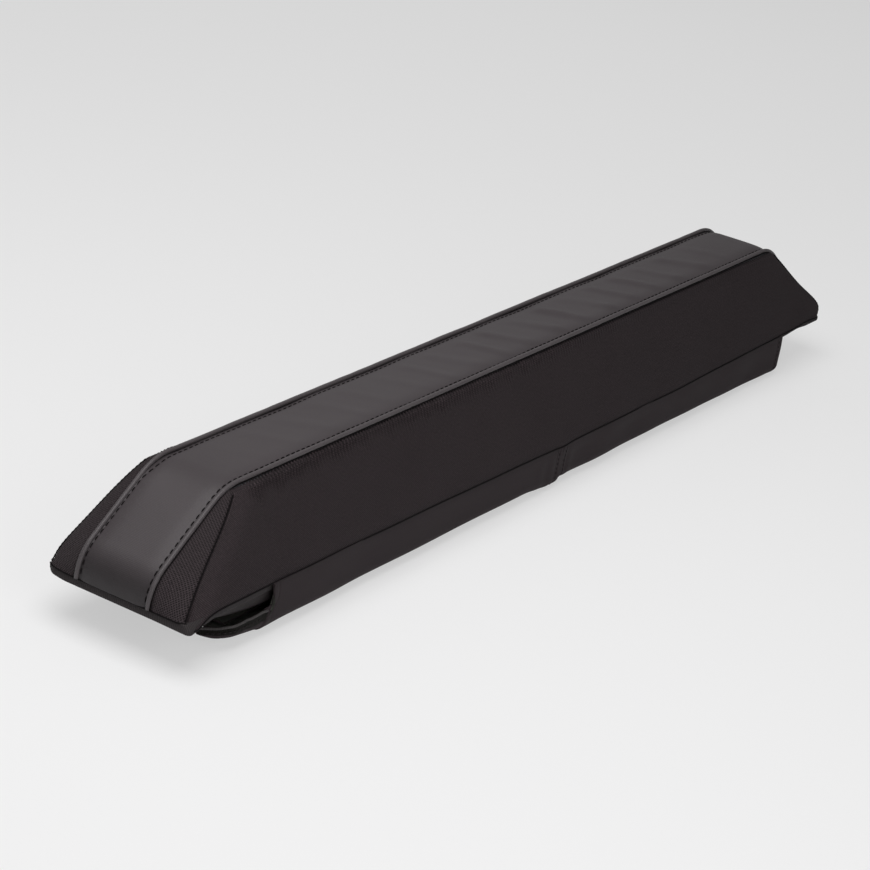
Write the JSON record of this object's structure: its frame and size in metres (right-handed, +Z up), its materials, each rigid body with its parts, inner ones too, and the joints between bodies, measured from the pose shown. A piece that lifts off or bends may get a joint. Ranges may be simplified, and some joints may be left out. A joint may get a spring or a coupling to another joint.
{
  "type": "roof rack pad",
  "caption": "Long padded sleeve for a flat roof load bar: a sloped-end foam block in sewn fabric, with piped edges and cloth flaps that wrap the bar and close underneath.",
  "frame": {"origin": "centre of the grip mat's underside, which seats on the top face of the load bar", "axes": "+X along the bar, towards the end without the cut-out; -Y is the front, where the cut-out is; +Z up, away from the bar"},
  "size_m": [0.763, 0.0998, 0.085],
  "materials": {
    "foam": "closed-cell foam block, hidden in the cover",
    "coated_fabric": "dark warm grey coated cloth with a soft sheen",
    "side_fabric": "matte finely woven polyester",
    "gusset_fabric": "matte cloth with an open grid weave",
    "flap_fabric": "smooth matte cloth",
    "welt_fabric": "coated cloth wrapped round a cord, with a soft shine along its crest",
    "ribbed_tape": "narrow ribbed woven tape",
    "grip_mat": "matte grip-faced foam",
    "closure_tape": "hook and loop pile"
  },
  "bodies": {
    "root": {"foam_core": "foam", "top_panel": "coated_fabric", "side_panel_front": "side_fabric", "side_panel_back": "side_fabric", "end_gusset_front_left": "gusset_fabric", "end_gusset_front_right": "gusset_fabric", "end_gusset_back_left": "gusset_fabric", "end_gusset_back_right": "gusset_fabric", "piping_front": "welt_fabric", "piping_back": "welt_fabric", "base_panel": "grip_mat", "base_binding": "ribbed_tape", "side_lip_front": "grip_mat", "side_lip_back": "grip_mat", "front_flap_left": "flap_fabric", "front_flap_right": "flap_fabric", "window_binding": "ribbed_tape", "back_flap_left": "flap_fabric", "back_flap_right": "flap_fabric", "hook_tape_left": "closure_tape", "hook_tape_right": "closure_tape", "loop_tape_left": "closure_tape", "loop_tape_right": "closure_tape"}
  },
  "joints": []
}
